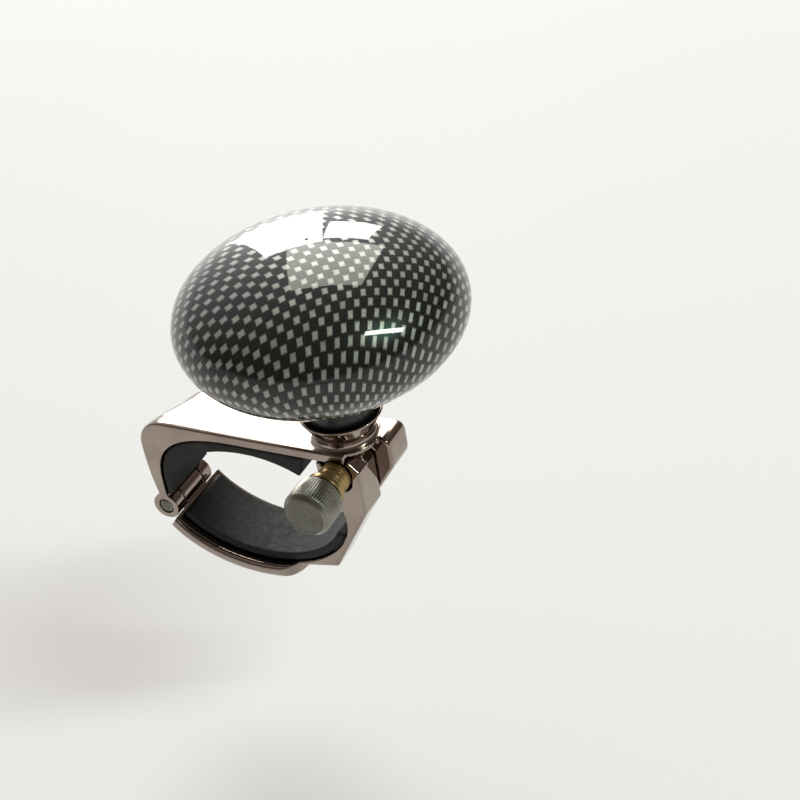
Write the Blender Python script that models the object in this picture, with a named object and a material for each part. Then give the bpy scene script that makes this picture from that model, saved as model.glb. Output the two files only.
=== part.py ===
"""Steering wheel spinner knob: a flattened ball on a bearing, carried by a hinged rim clamp.

Lengths are metres. The origin is the centre of the rim passage. +X points across the rim towards
the wheel's centre, +Y runs along the rim, and +Z is the direction of the knob's axis.
"""

import math

import bmesh
import bpy
from mathutils import Matrix, Vector

MM = 0.001

# Steering wheel rim that the clamp is made for
RIM_HALF_WIDTH = 19.2 * MM
RIM_HALF_HEIGHT = 12.3 * MM

# Clearances
SEAT_GAP = 0.3 * MM
BORE_GAP = 0.2 * MM

# Clamp castings
CLAMP_WIDTH = 14.2 * MM
PLATE_THICKNESS = 2.2 * MM
LIP_THICKNESS = 2.9 * MM
LIP_DROP = 3.2 * MM
LIP_CURL = 1.2 * MM
LIP_WIDEST_LEVEL = 8.0 * MM
SHOULDER_RADIUS_NEAR = 6.0 * MM
SHOULDER_RADIUS_FAR = 12.5 * MM
PLATE_OVERHANG = 2.3 * MM
FLANGE_OVERHANG = 6.4 * MM
FLANGE_SIDE_HEIGHT = 6.4 * MM
FLANGE_TIP_LEVEL = 0.3 * MM
FLANGE_CORNER = 1.8 * MM
FLANGE_LOWER_CORNER = 3.2 * MM
FLANGE_TIP_CORNER = 1.4 * MM
JAW_WALL = 2.5 * MM
CRADLE_WIDTH = 18.4 * MM
CRADLE_END_INSET = 13.3 * MM
CRADLE_END_CORNER = 5.0 * MM
CORNER_TRIM_ANGLE = 8.0
CRADLE_EDGE_ROUND = 0.9 * MM
EDGE_ROUND = 0.45 * MM
EDGE_BREAK = 0.3 * MM
PASSAGE_SQUARENESS = 2.8

# Ear and block of the lower jaw
EAR_TOP_ABOVE_SCREW = 3.0 * MM
EAR_REACH = 4.9 * MM
EAR_CHAMFER = 2.1 * MM
EAR_ROOT = 4.5 * MM
EAR_SIDE_DROP = 8.8 * MM
BLOCK_HEEL_INSET = 3.9 * MM
BLOCK_HEEL_RISE = 2.2 * MM
BLOCK_TOE_INSET = 10.5 * MM
BLOCK_TOE_WALL = 1.0883 * MM
BLOCK_ROOT_INSET = 16.3 * MM
BLOCK_ROOT_WALL = 1.3 * MM
NOTCH_DEPTH = 1.8 * MM

# Hinge at the rim's outer side
HINGE_OUTSET = 1.0 * MM
HINGE_DROP = 5.6 * MM
KNUCKLE_RADIUS = 3.0 * MM
KNUCKLE_CLEARANCE = 0.35 * MM
CRADLE_START = 205.0
MIDDLE_KNUCKLE_WIDTH = 7.0 * MM
PIN_RADIUS = 1.5 * MM
PIN_INSET = 0.2 * MM

# Lining
LINER_THICKNESS = 1.8 * MM
LINER_END_INSET = 6.7 * MM
LINER_EDGE_INSET = 0.4 * MM
UPPER_LINER_START = 185.0
LOWER_LINER_START = 209.0
LOWER_LINER_END = 344.0

# Thumb screw
SCREW_OUTSET = 0.3 * MM
SCREW_BELOW_PLATE = 4.5 * MM
SHANK_RADIUS = 2.0 * MM
SHANK_TIP_INSET = 0.8 * MM
SHANK_TIP_BEVEL = 0.5 * MM
HEAD_RADIUS = 4.9 * MM
HEAD_LENGTH = 7.2 * MM
HEAD_CHAMFER = 0.9 * MM
HEAD_WALL = 1.6 * MM
HEAD_TEETH = 30
KNURL_DEPTH = 0.2 * MM
DIMPLE_RADIUS = 0.7 * MM
DIMPLE_DEPTH = 0.4 * MM
DIMPLE_TIP_RADIUS = 0.07 * MM
BUSH_RADIUS = 3.2 * MM
BUSH_FLANGE_RADIUS = 4.0 * MM
BUSH_FLANGE_LENGTH = 1.2 * MM
BUSH_LENGTH = 5.5 * MM
BUSH_GROOVE_DEPTH = 0.35 * MM
BUSH_GROOVE_WIDTH = 0.9 * MM
BUSH_LAND = 1.0 * MM

# Collar on the bracket
COLLAR_INSET = 0.7 * MM
COLLAR_HEIGHT = 6.1 * MM
COLLAR_RIM_RADIUS = 8.3 * MM
COLLAR_WAIST_RADIUS = 5.8 * MM
COLLAR_WAIST_HEIGHT = 1.1 * MM
COLLAR_WAIST_BAND = 0.2 * MM
COLLAR_FOOT_RADIUS = 6.8 * MM
COLLAR_RIM_WALL = 0.5 * MM
COLLAR_CUP_DEPTH = 2.2 * MM
COLLAR_EMBED = 0.8 * MM

# Spindle and what stands on it
SPINDLE_RADIUS = 2.0 * MM
SPINDLE_SEAT_DEPTH = 5.2 * MM
SPINDLE_TOP_SPARE = 0.8 * MM
SPINDLE_TOP_BEVEL = 0.4 * MM
SPACER_HEIGHT = 2.0 * MM
SPACER_RADIUS = 3.1 * MM
WASHER_THICKNESS = 0.8 * MM
WASHER_RADIUS = 3.6 * MM
NUT_ACROSS_FLATS = 7.0 * MM
NUT_HEIGHT = 2.2 * MM

# Ball bearing
BEARING_WIDTH = 4.0 * MM
BEARING_RADIUS = 5.5 * MM
BEARING_PITCH_RADIUS = 3.75 * MM
BALL_RADIUS = 0.95 * MM
BALL_COUNT = 7
RACE_LAND = 0.6 * MM
CAGE_WIDTH = 0.7 * MM
CAGE_BACK = 0.5 * MM
CIRCLIP_THICKNESS = 0.7 * MM
CIRCLIP_WIDTH = 1.0 * MM
CIRCLIP_OPENING = 50.0

# Knob
KNOB_RADIUS = 28.0 * MM
KNOB_HALF_HEIGHT = 15.1 * MM
KNOB_CENTRE_ABOVE_PLATE = 28.5 * MM
KNOB_WALL = 2.2 * MM
SEAM_RADIUS = 18.5 * MM
NECK_BORE_RADIUS = 4.7 * MM
NECK_FILLET = 1.8 * MM
HUB_RISE = 1.6 * MM
SNAP_LIP = 1.8 * MM
SNAP_LIP_HEIGHT = 1.2 * MM

# Levels and half sizes that follow from the sizes above
HALF_WIDTH = CLAMP_WIDTH / 2
CRADLE_HALF_WIDTH = CRADLE_WIDTH / 2
PASSAGE_HALF_WIDTH = RIM_HALF_WIDTH + LINER_THICKNESS + SEAT_GAP
PASSAGE_HALF_HEIGHT = RIM_HALF_HEIGHT + LINER_THICKNESS + SEAT_GAP
LINER_HALF_WIDTH = RIM_HALF_WIDTH + LINER_THICKNESS
LINER_HALF_HEIGHT = RIM_HALF_HEIGHT + LINER_THICKNESS
PLATE_TOP = PASSAGE_HALF_HEIGHT + PLATE_THICKNESS
PLATE_REACH = PASSAGE_HALF_WIDTH + PLATE_OVERHANG
FLANGE_REACH = PLATE_REACH + FLANGE_OVERHANG
LIP_OUTSIDE = PASSAGE_HALF_WIDTH + LIP_THICKNESS
LINER_END_X = RIM_HALF_WIDTH - LINER_END_INSET
CRADLE_END_X = PASSAGE_HALF_WIDTH - CRADLE_END_INSET
BLOCK_HEEL_X = PASSAGE_HALF_WIDTH - BLOCK_HEEL_INSET
BLOCK_HEEL_DROP = PASSAGE_HALF_HEIGHT - BLOCK_HEEL_RISE
BLOCK_TOE_X = PASSAGE_HALF_WIDTH - BLOCK_TOE_INSET
BLOCK_ROOT_X = PASSAGE_HALF_WIDTH - BLOCK_ROOT_INSET
SCREW_X = PASSAGE_HALF_WIDTH + SCREW_OUTSET
SCREW_Z = PLATE_TOP - SCREW_BELOW_PLATE
COLLAR_X = PASSAGE_HALF_WIDTH - COLLAR_INSET
HINGE_X = -(PASSAGE_HALF_WIDTH + HINGE_OUTSET)
HINGE_Z = -HINGE_DROP
COLLAR_TOP = PLATE_TOP + COLLAR_HEIGHT
CUP_FLOOR = COLLAR_TOP - COLLAR_CUP_DEPTH
COLLAR_FLARE = (COLLAR_RIM_RADIUS - COLLAR_WAIST_RADIUS) / COLLAR_HEIGHT
CUP_FLOOR_RADIUS = COLLAR_RIM_RADIUS - COLLAR_RIM_WALL - COLLAR_CUP_DEPTH * COLLAR_FLARE
NECK_RADIUS = CUP_FLOOR_RADIUS
BEARING_BOTTOM = CUP_FLOOR + SEAT_GAP + SPACER_HEIGHT + SEAT_GAP
BEARING_MIDDLE = BEARING_BOTTOM + BEARING_WIDTH / 2
BEARING_TOP = BEARING_BOTTOM + BEARING_WIDTH
KNOB_CENTRE = PLATE_TOP + KNOB_CENTRE_ABOVE_PLATE
FLANGE_NEAR = 0.0
EAR_FAR = FLANGE_NEAR - SEAT_GAP

COLOURS = {
    "chrome": ((0.62, 0.6, 0.58), 0.12, 1.0),
    "satin_steel": ((0.55, 0.54, 0.51), 0.35, 1.0),
    "brass": ((0.62, 0.43, 0.16), 0.32, 1.0),
    "bearing_steel": ((0.5, 0.5, 0.5), 0.2, 1.0),
    "carbon_print": ((0.03, 0.034, 0.033), 0.08, 0.0),
    "black_plastic": ((0.012, 0.012, 0.012), 0.3, 0.0),
    "nylon": ((0.42, 0.38, 0.28), 0.5, 0.0),
    "rubber": ((0.018, 0.018, 0.018), 0.75, 0.0),
}


def clear_scene():
    for obj in list(bpy.data.objects):
        bpy.data.objects.remove(obj, do_unlink=True)


def material(name):
    """The named finish, made once."""
    found = bpy.data.materials.get(name)
    if found:
        return found
    colour, roughness, metallic = COLOURS[name]
    made = bpy.data.materials.new(name)
    made.use_nodes = True
    shader = made.node_tree.nodes["Principled BSDF"]
    shader.inputs["Base Color"].default_value = (*colour, 1.0)
    shader.inputs["Roughness"].default_value = roughness
    shader.inputs["Metallic"].default_value = metallic
    return made


def object_from(bm, name, finish, origin=(0, 0, 0), smooth_angle=32):
    """Link a bmesh as an object whose own origin is the given world point."""
    bmesh.ops.remove_doubles(bm, verts=bm.verts, dist=0.002 * MM)
    bmesh.ops.recalc_face_normals(bm, faces=bm.faces)
    bmesh.ops.translate(bm, verts=bm.verts, vec=-Vector(origin))
    mesh = bpy.data.meshes.new(name)
    bm.to_mesh(mesh)
    bm.free()
    mesh.shade_smooth()
    mesh.set_sharp_from_angle(angle=math.radians(smooth_angle))
    obj = bpy.data.objects.new(name, mesh)
    obj.location = origin
    bpy.context.scene.collection.objects.link(obj)
    if finish:
        mesh.materials.append(material(finish))
    return obj


def as_cutter(obj):
    obj.hide_render = True
    obj.display_type = "WIRE"
    return obj


def boolean(target, tool, operation):
    modifier = target.modifiers.new(tool.name, "BOOLEAN")
    modifier.operation = operation
    modifier.solver = "EXACT"
    modifier.object = as_cutter(tool)


def arc(centre, radius, start, end, steps):
    """Points in the XZ plane from one angle in degrees to another."""
    points = []
    for i in range(steps + 1):
        angle = math.radians(start + (end - start) * i / steps)
        points.append((centre[0] + radius * math.cos(angle), centre[1] + radius * math.sin(angle)))
    return points


def oval(half_width, half_height, start, end, steps, squareness=2.0):
    """Points of a superellipse in the XZ plane, 2 being the plain ellipse."""
    points = []
    for i in range(steps + 1):
        angle = math.radians(start + (end - start) * i / steps)
        c, s = math.cos(angle), math.sin(angle)
        x = math.copysign(abs(c) ** (2 / squareness), c) * half_width
        z = math.copysign(abs(s) ** (2 / squareness), s) * half_height
        points.append((x, z))
    return points


def rounded(points, radii, steps=4):
    """Round the corners of a closed outline, each by its own radius."""
    result = []
    count = len(points)
    for i, (point, radius) in enumerate(zip(points, radii)):
        here = Vector(point)
        if radius <= 0:
            result.append(tuple(here))
            continue
        before = (Vector(points[i - 1]) - here).normalized()
        after = (Vector(points[(i + 1) % count]) - here).normalized()
        half = before.angle(after) / 2
        reach = radius / math.tan(half)
        centre = here + (before + after).normalized() * (radius / math.sin(half))
        first = here + before * reach - centre
        last = here + after * reach - centre
        turn = math.atan2(first.x * last.y - first.y * last.x, first.dot(last))
        for k in range(steps + 1):
            angle = turn * k / steps
            spun = Matrix.Rotation(angle, 2) @ first
            result.append(tuple(centre + spun))
    return result


def inset(points, distance):
    """Move a closed outline inwards by a small distance."""
    count = len(points)
    area = sum(points[i - 1][0] * points[i][1] - points[i][0] * points[i - 1][1] for i in range(count))
    side = 1.0 if area > 0 else -1.0
    moved = []
    for i in range(count):
        here = Vector(points[i])
        before = (here - Vector(points[i - 1])).normalized()
        after = (Vector(points[(i + 1) % count]) - here).normalized()
        normals = Vector((-before.y, before.x)) + Vector((-after.y, after.x))
        normals.normalize()
        stretch = max(0.5, normals.dot(Vector((-after.y, after.x))))
        moved.append(tuple(here + normals * side * distance / stretch))
    return moved


def loft(rings):
    """A closed bmesh through outlines in the XZ plane, each with its own Y."""
    bm = bmesh.new()
    loops = [[bm.verts.new((x, y, z)) for x, z in outline] for y, outline in rings]
    count = len(loops[0])
    for first, second in zip(loops, loops[1:]):
        for i in range(count):
            j = (i + 1) % count
            bm.faces.new((first[i], first[j], second[j], second[i]))
    bm.faces.new(loops[0])
    bm.faces.new(loops[-1])
    return bm


def edge_stations(y0, y1, edge, inner=()):
    """Pairs of Y and inset that round both ends of a loft."""
    tilt = math.radians(45)
    near = [(0.0, edge), (edge * (1 - math.cos(tilt)), edge * (1 - math.sin(tilt))), (edge, 0.0)]
    start = [(y0 + d, i) for d, i in near]
    end = [(y1 - d, i) for d, i in reversed(near)]
    return start + [(y, 0.0) for y in inner] + end


def slab(outline, y0, y1, edge=0.0):
    """A plate of the given outline from one Y to another, with rounded rims."""
    if edge <= 0:
        return loft([(y0, outline), (y1, outline)])
    return loft([(y, inset(outline, i)) for y, i in edge_stations(y0, y1, edge)])


def turned(profile, segments=48, closed=True):
    """Spin an (r, z) profile about Z; an open one gets a flat disc at each end."""
    bm = bmesh.new()
    verts = [bm.verts.new((r, 0, z)) for r, z in profile]
    edges = [bm.edges.new(pair) for pair in zip(verts, verts[1:])]
    if closed:
        edges.append(bm.edges.new((verts[-1], verts[0])))
    bmesh.ops.spin(bm, geom=verts + edges, cent=(0, 0, 0), axis=(0, 0, 1),
                   angle=math.tau, steps=segments, use_merge=True)
    bmesh.ops.remove_doubles(bm, verts=bm.verts, dist=0.002 * MM)
    bmesh.ops.delete(bm, geom=[edge for edge in bm.edges if edge.is_wire], context="EDGES")
    if not closed:
        bmesh.ops.holes_fill(bm, edges=[edge for edge in bm.edges if edge.is_boundary])
    return bm


def along_y(obj, x, y, z):
    """Turn a piece that was made about +Z so that its axis points along -Y."""
    obj.rotation_euler = (math.radians(90), 0, 0)
    obj.location = (x, y, z)
    return obj


def rod(name, x, z, radius, y0, y1, finish=None, segments=32):
    """A plain round bar along Y."""
    outline = arc((x, z), radius, 0, 360, segments)[:-1]
    return object_from(slab(outline, y0, y1), name, finish, origin=(x, 0, z))


def box(name, x0, x1, y0, y1, bottom):
    """Cutter that stands on the given level and reaches above the plate."""
    top = PLATE_TOP + MM
    return object_from(slab([(x0, bottom), (x1, bottom), (x1, top), (x0, top)], y0, y1), name, None)


def bracket_outline(y):
    """Section of plate, shoulder and lip at one place along the rim."""
    share = (y + HALF_WIDTH) / CLAMP_WIDTH
    blend = share * share * (3 - 2 * share)
    radius = SHOULDER_RADIUS_NEAR + (SHOULDER_RADIUS_FAR - SHOULDER_RADIUS_NEAR) * blend
    shoulder = (-LIP_OUTSIDE + radius, PLATE_TOP - radius)
    outline = [(PLATE_REACH, PLATE_TOP)]
    outline += arc(shoulder, radius, 90, 180, 9)
    steps = 5
    for i in range(1, steps + 1):
        z = shoulder[1] + (-LIP_DROP - shoulder[1]) * i / steps
        fall = max(0.0, (LIP_WIDEST_LEVEL - z) / (LIP_WIDEST_LEVEL + LIP_DROP))
        outline.append((-LIP_OUTSIDE + LIP_CURL * fall ** 2, z))
    lip_angle = 180 + math.degrees(math.asin((LIP_DROP / PASSAGE_HALF_HEIGHT) ** (PASSAGE_SQUARENESS / 2)))
    outline += oval(PASSAGE_HALF_WIDTH, PASSAGE_HALF_HEIGHT, lip_angle, 90, 14, PASSAGE_SQUARENESS)
    outline += [(PLATE_REACH, PASSAGE_HALF_HEIGHT)]
    return outline


def flange_outline():
    """The flange that hangs down from the plate's inner end, on the far half of its width."""
    root_angle = math.degrees(math.acos((SCREW_X - EAR_ROOT) / PASSAGE_HALF_WIDTH))
    tip_angle = math.degrees(math.asin(FLANGE_TIP_LEVEL / PASSAGE_HALF_HEIGHT))
    rim_side = oval(PASSAGE_HALF_WIDTH, PASSAGE_HALF_HEIGHT, root_angle, tip_angle, 6)
    side_bottom = PLATE_TOP - FLANGE_SIDE_HEIGHT
    tip_x = rim_side[-1][0] + SHANK_RADIUS
    corners = [(FLANGE_REACH, PLATE_TOP), (rim_side[0][0], PLATE_TOP)] + rim_side
    corners += [(tip_x, rim_side[-1][1]), (FLANGE_REACH, side_bottom)]
    radii = [FLANGE_CORNER, 0] + [0] * (len(rim_side) - 1)
    radii += [EDGE_ROUND, FLANGE_TIP_CORNER, FLANGE_LOWER_CORNER]
    return rounded(corners, radii)


def collar_profile():
    """Half section of the collar, from its foot in the plate to the cup at its top."""
    waist = PLATE_TOP + COLLAR_WAIST_HEIGHT
    foot = COLLAR_FOOT_RADIUS - COLLAR_WAIST_RADIUS
    fillet = []
    for i in range(5):
        angle = math.radians(90 * i / 4)
        fillet.append((COLLAR_WAIST_RADIUS + foot * (1 - math.sin(angle)),
                       PLATE_TOP + COLLAR_WAIST_HEIGHT * (1 - math.cos(angle))))
    cup_radius = COLLAR_RIM_RADIUS - COLLAR_RIM_WALL
    profile = [(COLLAR_FOOT_RADIUS, PLATE_TOP - COLLAR_EMBED)] + fillet
    profile += [(COLLAR_WAIST_RADIUS, waist + COLLAR_WAIST_BAND)]
    profile += [(COLLAR_RIM_RADIUS, COLLAR_TOP - EDGE_BREAK)]
    profile += [(COLLAR_RIM_RADIUS - EDGE_BREAK / 2, COLLAR_TOP)]
    profile += [(cup_radius, COLLAR_TOP), (CUP_FLOOR_RADIUS, CUP_FLOOR)]
    return profile


def upper_bracket():
    """Plate, lip, flange and collar as one casting."""
    steps = [HALF_WIDTH * share for share in (-0.8, -0.5, 0.0, 0.5, 0.8)]
    rings = []
    for y, depth in edge_stations(-HALF_WIDTH, HALF_WIDTH, EDGE_ROUND, steps):
        rings.append((y, inset(bracket_outline(y), depth)))
    bracket = object_from(loft(rings), "upper_bracket", "chrome")
    flange = slab(flange_outline(), FLANGE_NEAR, HALF_WIDTH, EDGE_ROUND)
    boolean(bracket, object_from(flange, "flange_form", "chrome"), "UNION")
    collar = object_from(turned(collar_profile(), 40, closed=False), "collar_form", "chrome")
    collar.location.x = COLLAR_X
    boolean(bracket, collar, "UNION")
    end = HALF_WIDTH - EDGE_BREAK
    boolean(bracket, rod("bracket_knuckle_form", HINGE_X, HINGE_Z, KNUCKLE_RADIUS, -end, end), "UNION")
    gap = MIDDLE_KNUCKLE_WIDTH / 2 + SEAT_GAP
    clearance = KNUCKLE_RADIUS + KNUCKLE_CLEARANCE
    boolean(bracket, rod("jaw_knuckle_room", HINGE_X, HINGE_Z, clearance, -gap, gap), "DIFFERENCE")
    reach = HALF_WIDTH + MM
    bore = PIN_RADIUS + BORE_GAP
    pin_bore = rod("bracket_pin_bore", HINGE_X, HINGE_Z, bore, -reach, reach, segments=24)
    boolean(bracket, pin_bore, "DIFFERENCE")
    bore = SHANK_RADIUS + BORE_GAP
    screw_bore = rod("screw_bore", SCREW_X, SCREW_Z, bore, -MM, reach, segments=24)
    boolean(bracket, screw_bore, "DIFFERENCE")
    bore = SPINDLE_RADIUS + BORE_GAP
    seat = [(bore, CUP_FLOOR - SPINDLE_SEAT_DEPTH - SEAT_GAP), (bore, CUP_FLOOR + MM)]
    socket = object_from(turned(seat, 24, closed=False), "spindle_socket", None)
    socket.location.x = COLLAR_X
    boolean(bracket, socket, "DIFFERENCE")
    return bracket


def cradle_outline():
    """Oval wall under the rim, from beside the hinge to the block."""
    outer_width = PASSAGE_HALF_WIDTH + JAW_WALL
    outer_height = PASSAGE_HALF_HEIGHT + JAW_WALL
    last = 360 - math.degrees(math.acos(CRADLE_END_X / PASSAGE_HALF_WIDTH))
    inner = oval(PASSAGE_HALF_WIDTH, PASSAGE_HALF_HEIGHT, CRADLE_START, last, 20)
    return inner + oval(outer_width, outer_height, last, CRADLE_START, 20)


def plan_prism(name, outline, bottom, top):
    """Upright cutter of the given outline in the XY plane."""
    bm = bmesh.new()
    face = bm.faces.new([bm.verts.new((x, y, bottom)) for x, y in outline])
    grown = bmesh.ops.extrude_face_region(bm, geom=[face])
    moved = [v for v in grown["geom"] if isinstance(v, bmesh.types.BMVert)]
    bmesh.ops.translate(bm, verts=moved, vec=(0, 0, top - bottom))
    return object_from(bm, name, None)


def cradle_corner(name, side):
    """Cutter that rounds one of the cradle's free corners as seen from below."""
    outer_end = CRADLE_END_X * (1 + JAW_WALL / PASSAGE_HALF_WIDTH)
    centre = (outer_end - CRADLE_END_CORNER, CRADLE_HALF_WIDTH - CRADLE_END_CORNER)
    curve = arc(centre, CRADLE_END_CORNER, CORNER_TRIM_ANGLE, 90 - CORNER_TRIM_ANGLE, 5)
    first = tuple(2 * Vector(curve[0]) - Vector(curve[1]))
    last = tuple(2 * Vector(curve[-1]) - Vector(curve[-2]))
    far_x = outer_end + 2 * MM
    far_y = CRADLE_HALF_WIDTH + 2 * MM
    outline = [first] + curve + [last, (last[0], far_y), (far_x, far_y), (far_x, first[1])]
    bottom = -PASSAGE_HALF_HEIGHT - JAW_WALL - MM
    return plan_prism(name, [(x, side * y) for x, y in outline], bottom, -PASSAGE_HALF_HEIGHT / 2)


def ear_outline():
    """Block at the inner side with the ear above it."""
    ear_left = SCREW_X - EAR_ROOT
    ear_right = SCREW_X + EAR_REACH
    ear_top = SCREW_Z + EAR_TOP_ABOVE_SCREW
    toe_angle = 360 - math.degrees(math.acos(BLOCK_ROOT_X / PASSAGE_HALF_WIDTH))
    root_angle = 360 + math.degrees(math.acos(ear_left / PASSAGE_HALF_WIDTH))
    inner = oval(PASSAGE_HALF_WIDTH, PASSAGE_HALF_HEIGHT, toe_angle, root_angle, 18)
    passage_at_toe = -PASSAGE_HALF_HEIGHT * math.sqrt(1 - (BLOCK_TOE_X / PASSAGE_HALF_WIDTH) ** 2)
    corners = [(ear_left, ear_top), (ear_right - EAR_CHAMFER, ear_top)]
    corners += [(ear_right, ear_top - EAR_CHAMFER), (ear_right, SCREW_Z - EAR_SIDE_DROP)]
    corners += [(BLOCK_HEEL_X, -BLOCK_HEEL_DROP), (BLOCK_TOE_X, passage_at_toe - BLOCK_TOE_WALL)]
    corners += [(BLOCK_ROOT_X, inner[0][1] - BLOCK_ROOT_WALL)]
    return inner + corners


def lower_jaw():
    """Cradle, block and notched ear as one casting."""
    cradle = slab(cradle_outline(), -CRADLE_HALF_WIDTH, CRADLE_HALF_WIDTH, CRADLE_EDGE_ROUND)
    jaw = object_from(cradle, "lower_jaw", "chrome", origin=(HINGE_X, 0, HINGE_Z))
    boolean(jaw, cradle_corner("near_corner_room", -1), "DIFFERENCE")
    boolean(jaw, cradle_corner("far_corner_room", 1), "DIFFERENCE")
    ear = object_from(slab(ear_outline(), -HALF_WIDTH, EAR_FAR, EDGE_ROUND), "ear_form", "chrome")
    boolean(jaw, ear, "UNION")
    half = MIDDLE_KNUCKLE_WIDTH / 2
    spare = half + EDGE_BREAK
    boolean(jaw, rod("jaw_knuckle_form", HINGE_X, HINGE_Z, KNUCKLE_RADIUS, -spare, spare), "UNION")
    clearance = KNUCKLE_RADIUS + KNUCKLE_CLEARANCE
    reach = CRADLE_HALF_WIDTH + MM
    for name, y0, y1 in (("near_knuckle_room", -reach, -half), ("far_knuckle_room", half, reach)):
        boolean(jaw, rod(name, HINGE_X, HINGE_Z, clearance, y0, y1), "DIFFERENCE")
    bore = PIN_RADIUS + BORE_GAP
    pin_bore = rod("jaw_pin_bore", HINGE_X, HINGE_Z, bore, -reach, reach, segments=24)
    boolean(jaw, pin_bore, "DIFFERENCE")
    under_plate = PASSAGE_HALF_HEIGHT - SEAT_GAP
    boolean(jaw, box("plate_room", 0, PLATE_REACH + SEAT_GAP, -reach, reach, under_plate), "DIFFERENCE")
    boolean(jaw, object_from(slab(notch_outline(), -reach, reach), "screw_notch", None), "DIFFERENCE")
    return jaw


def notch_outline():
    """Slot for the screw's shank, curved about the hinge and open at the ear's top."""
    to_screw = Vector((SCREW_X - HINGE_X, SCREW_Z - HINGE_Z))
    radius = to_screw.length
    half = SHANK_RADIUS + SEAT_GAP
    middle = math.degrees(math.atan2(to_screw.y, to_screw.x))
    low = middle - math.degrees(NOTCH_DEPTH / radius)
    high = middle + math.degrees((EAR_TOP_ABOVE_SCREW + 2 * SHANK_RADIUS) / radius)
    hinge = (HINGE_X, HINGE_Z)
    outline = arc(hinge, radius + half, low, high, 5) + arc(hinge, radius - half, high, low, 5)
    bottom = Vector(arc(hinge, radius, low, low, 1)[0])
    cap = arc(tuple(bottom), half, low - 180, low, 8)
    return outline + cap[1:-1]


def hinge_pin():
    return rod("hinge_pin", HINGE_X, HINGE_Z, PIN_RADIUS, -HALF_WIDTH + PIN_INSET, HALF_WIDTH - PIN_INSET,
               "satin_steel", 24)


def upper_liner():
    """Rubber that fills the space between the rim and the plate, shoulder and lip."""
    lip_angle = UPPER_LINER_START
    end_angle = math.degrees(math.acos(LINER_END_X / RIM_HALF_WIDTH))
    outer = oval(LINER_HALF_WIDTH, LINER_HALF_HEIGHT, lip_angle, 90, 12, PASSAGE_SQUARENESS)
    outer += [(LINER_END_X + LINER_THICKNESS, LINER_HALF_HEIGHT)]
    inner = oval(RIM_HALF_WIDTH, RIM_HALF_HEIGHT, end_angle, lip_angle, 16)
    width = HALF_WIDTH - LINER_EDGE_INSET
    return object_from(slab(outer + inner, -width, width, EDGE_BREAK), "upper_liner", "rubber")


def lower_liner():
    """Rubber in the jaw's cradle."""
    outer = oval(LINER_HALF_WIDTH, LINER_HALF_HEIGHT, LOWER_LINER_START, LOWER_LINER_END, 18)
    inner = oval(RIM_HALF_WIDTH, RIM_HALF_HEIGHT, LOWER_LINER_END, LOWER_LINER_START, 18)
    width = HALF_WIDTH - LINER_EDGE_INSET
    form = slab(outer + inner, -width, width, EDGE_BREAK)
    return object_from(form, "lower_liner", "rubber", origin=(HINGE_X, 0, HINGE_Z))


def star(radius, depth, teeth):
    """Round outline with straight knurls."""
    points = []
    for i in range(teeth * 2):
        angle = math.tau * i / (teeth * 2)
        r = radius - (depth if i % 2 else 0)
        points.append((r * math.cos(angle), r * math.sin(angle)))
    return points


def thumb_head(front):
    """Knurled head; its back is at the given distance in front of the ear."""
    root = HEAD_RADIUS - KNURL_DEPTH
    knurl = star(HEAD_RADIUS, KNURL_DEPTH, HEAD_TEETH)
    plain = star(root, 0, HEAD_TEETH)
    small = star(root - HEAD_CHAMFER, 0, HEAD_TEETH)
    step = KNURL_DEPTH
    mark = star(DIMPLE_RADIUS, 0, HEAD_TEETH)
    point = star(DIMPLE_TIP_RADIUS, 0, HEAD_TEETH)
    stack = [(0, small), (HEAD_CHAMFER, plain), (HEAD_CHAMFER + step, knurl),
             (HEAD_LENGTH - HEAD_CHAMFER - step, knurl), (HEAD_LENGTH - HEAD_CHAMFER, plain),
             (HEAD_LENGTH, small), (HEAD_LENGTH, mark), (HEAD_LENGTH - DIMPLE_DEPTH, point)]
    bm = loft([(-d, ring) for d, ring in stack])
    head = object_from(bm, "thumb_head", "satin_steel", smooth_angle=20)
    head.location = (SCREW_X, -front, SCREW_Z)
    bottom = -front - HEAD_LENGTH + HEAD_WALL
    bore = SHANK_RADIUS + BORE_GAP
    boolean(head, rod("head_bore", SCREW_X, SCREW_Z, bore, bottom, -front + MM, segments=24), "DIFFERENCE")
    return head


def clamp_screw(front):
    """Shank that joins the head to the threaded bore in the flange."""
    far = HALF_WIDTH - SHANK_TIP_INSET
    near = -front - HEAD_LENGTH + HEAD_WALL + SEAT_GAP
    length = far - near
    profile = [(SHANK_RADIUS - SHANK_TIP_BEVEL, 0), (SHANK_RADIUS, SHANK_TIP_BEVEL), (SHANK_RADIUS, length)]
    shank = object_from(turned(profile, 24, closed=False), "clamp_screw", "bearing_steel")
    return along_y(shank, SCREW_X, far, SCREW_Z)


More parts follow.
